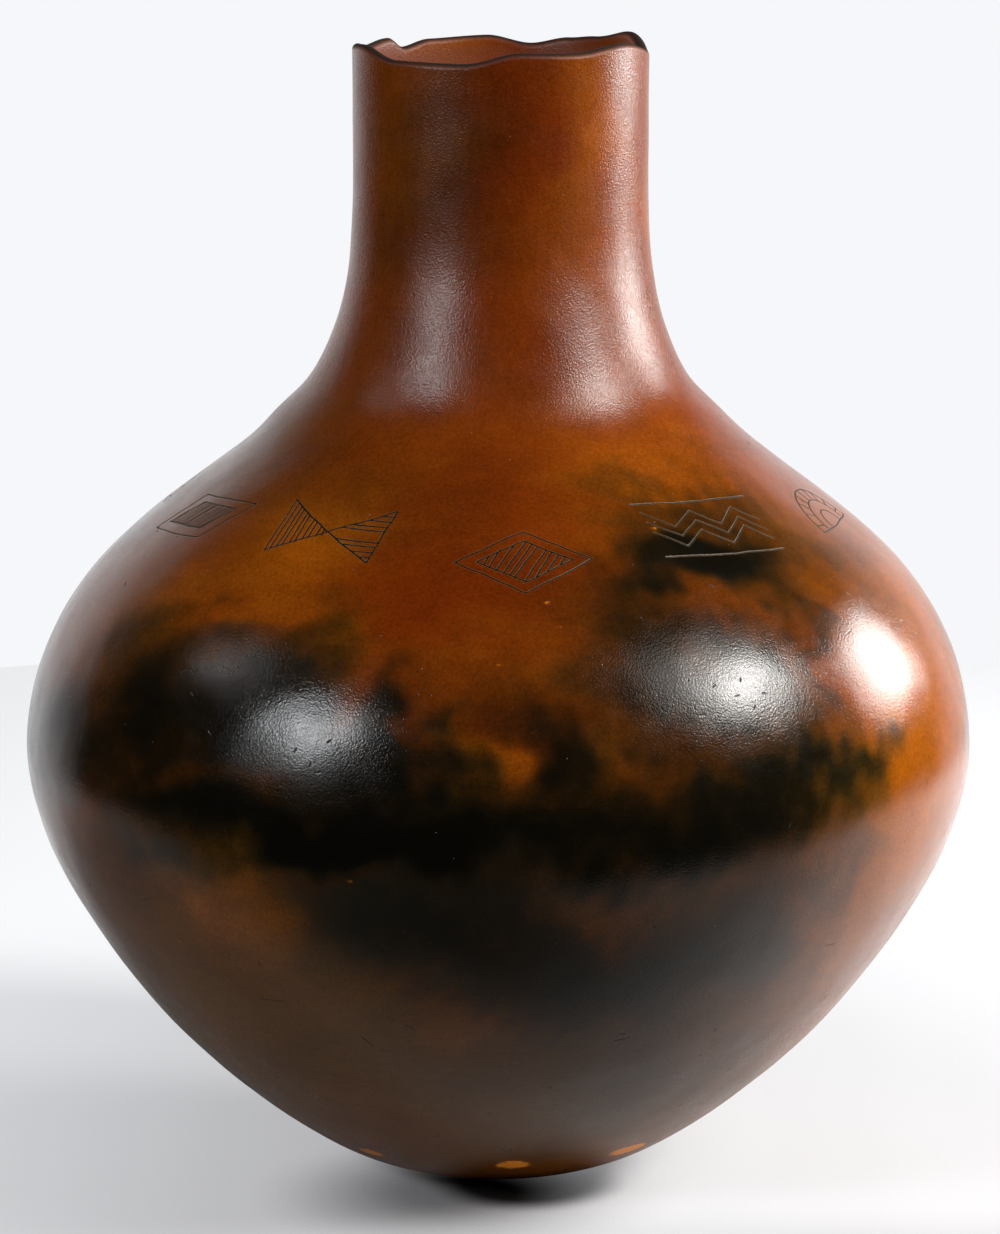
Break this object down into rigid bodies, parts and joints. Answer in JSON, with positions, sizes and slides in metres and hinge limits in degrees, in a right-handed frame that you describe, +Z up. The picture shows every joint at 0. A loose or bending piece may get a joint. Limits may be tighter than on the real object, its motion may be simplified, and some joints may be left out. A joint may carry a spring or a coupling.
{
  "type": "pottery vessel",
  "caption": "Tall-necked round-bellied storage pot, coil-built in burnished pit-fired clay, with a small flat foot and a wavy hand-pinched rim.",
  "frame": {"origin": "on the ground under the middle of the flat foot", "axes": "+Z up along the pot's axis, -Y towards the front with the main smoke clouds, +X to the right seen from the front"},
  "size_m": [0.421, 0.421, 0.5055],
  "materials": {
    "burnished_brown_clay": "burnished, pit-fired, brown with grey smoke clouds",
    "smoked_black_clay": "burnished, pit-fired, carbon-smoked nearly black with orange flashes",
    "burnished_orange_clay": "burnished, pit-fired, orange-brown with fine incised patterns",
    "burnished_red_clay": "burnished, pit-fired, red-brown with gold flashes"
  },
  "bodies": {
    "root": {"base_slab": "burnished_brown_clay", "lower_wall_coil_1": "burnished_brown_clay", "lower_wall_coil_2": "burnished_brown_clay", "lower_wall_coil_3": "burnished_brown_clay", "lower_wall_coil_4": "burnished_brown_clay", "belly_coil_1": "smoked_black_clay", "belly_coil_2": "smoked_black_clay", "belly_coil_3": "smoked_black_clay", "shoulder_coil_1": "burnished_orange_clay", "shoulder_coil_2": "burnished_orange_clay", "shoulder_coil_3": "burnished_orange_clay", "shoulder_coil_4": "burnished_orange_clay", "neck_coil_1": "burnished_red_clay", "neck_coil_2": "burnished_red_clay", "neck_coil_3": "burnished_red_clay", "lip_coil": "burnished_red_clay"}
  },
  "joints": []
}
